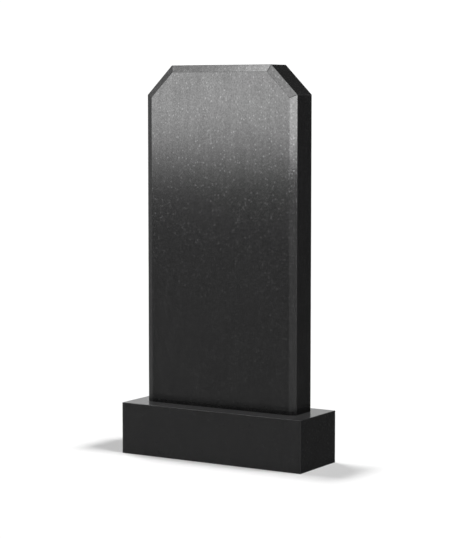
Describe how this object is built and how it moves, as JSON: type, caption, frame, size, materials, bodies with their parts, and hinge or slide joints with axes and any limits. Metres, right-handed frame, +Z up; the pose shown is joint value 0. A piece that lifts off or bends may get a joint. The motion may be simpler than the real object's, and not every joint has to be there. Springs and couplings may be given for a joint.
{
  "type": "headstone",
  "caption": "Upright polished black stone slab with cut top corners and a bevelled front edge, standing on a plain rectangular stone base.",
  "frame": {"origin": "centre of the base's underside, on the ground", "axes": "+Z up; -Y is the front, the way the bevelled face of the slab looks; +X is to the right of someone facing the front"},
  "size_m": [0.6, 0.2, 1.1303],
  "materials": {
    "base_stone": "polished black fine-grained stone, satin on top, and ground but not polished on the back and underside",
    "slab_stone": "polished black fine-grained stone with small pale flecks, and ground but not polished on the back and foot"
  },
  "bodies": {
    "root": {"base": "base_stone", "slab": "slab_stone"}
  },
  "joints": []
}
